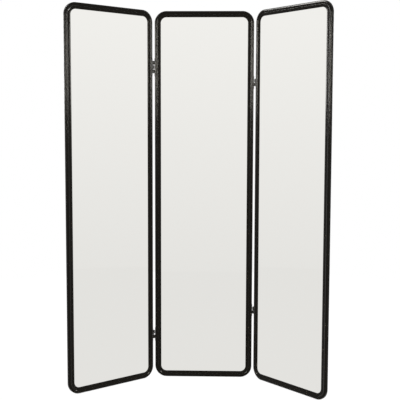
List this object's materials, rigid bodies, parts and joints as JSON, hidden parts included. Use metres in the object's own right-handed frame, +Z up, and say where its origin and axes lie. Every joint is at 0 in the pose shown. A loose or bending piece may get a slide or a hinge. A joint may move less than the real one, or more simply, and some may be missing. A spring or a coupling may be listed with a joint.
{
  "type": "three panel floor mirror",
  "caption": "Tall free-standing floor mirror in panels with round-cornered black beaded frames; the outer panels fold on pinned side hinges.",
  "frame": {"origin": "on the floor, at the middle of the centre panel's width and depth", "axes": "+X to the viewer's right along the centre panel, +Y to the back of the centre panel, +Z up"},
  "size_m": [1.1959, 0.3838, 1.8],
  "materials": {
    "black_enamel": "semi-gloss black enamel on a bent metal moulding",
    "hinge_black": "black painted hinge with a slight wear on its edges",
    "mirror_glass": "clear silvered mirror glass",
    "glazing_tape": "dark foam tape",
    "hardboard": "brown hardboard",
    "zinc_plate": "zinc plated steel"
  },
  "bodies": {
    "centre_panel": {"centre_frame": "black_enamel", "centre_glazing_tape": "glazing_tape", "centre_mirror_glass": "mirror_glass", "centre_backing_board": "hardboard", "centre_retaining_clips": "zinc_plate", "centre_clip_screws": "zinc_plate", "upper_left_hinge_centre_leaf": "hinge_black", "upper_left_hinge_pin": "hinge_black", "upper_left_hinge_centre_screws": "hinge_black", "lower_left_hinge_centre_leaf": "hinge_black", "lower_left_hinge_pin": "hinge_black", "lower_left_hinge_centre_screws": "hinge_black", "upper_right_hinge_centre_leaf": "hinge_black", "upper_right_hinge_pin": "hinge_black", "upper_right_hinge_centre_screws": "hinge_black", "lower_right_hinge_centre_leaf": "hinge_black", "lower_right_hinge_pin": "hinge_black", "lower_right_hinge_centre_screws": "hinge_black"},
    "left_panel": {"left_frame": "black_enamel", "left_glazing_tape": "glazing_tape", "left_mirror_glass": "mirror_glass", "left_backing_board": "hardboard", "left_retaining_clips": "zinc_plate", "left_clip_screws": "zinc_plate", "upper_left_hinge_side_leaf": "hinge_black", "upper_left_hinge_side_screws": "hinge_black", "lower_left_hinge_side_leaf": "hinge_black", "lower_left_hinge_side_screws": "hinge_black"},
    "right_panel": {"right_frame": "black_enamel", "right_glazing_tape": "glazing_tape", "right_mirror_glass": "mirror_glass", "right_backing_board": "hardboard", "right_retaining_clips": "zinc_plate", "right_clip_screws": "zinc_plate", "upper_right_hinge_side_leaf": "hinge_black", "upper_right_hinge_side_screws": "hinge_black", "lower_right_hinge_side_leaf": "hinge_black", "lower_right_hinge_side_screws": "hinge_black"}
  },
  "joints": [
    {"name": "left_fold", "type": "hinge", "parent": "centre_panel", "child": "left_panel", "pos_m": [-0.248, 0, 0.9], "axis": [0, 0, 1], "range_deg": [-140.5, 66.5]},
    {"name": "right_fold", "type": "hinge", "parent": "centre_panel", "child": "right_panel", "pos_m": [0.248, 0, 0.9], "axis": [0, 0, -1], "range_deg": [-149, 58]}
  ]
}
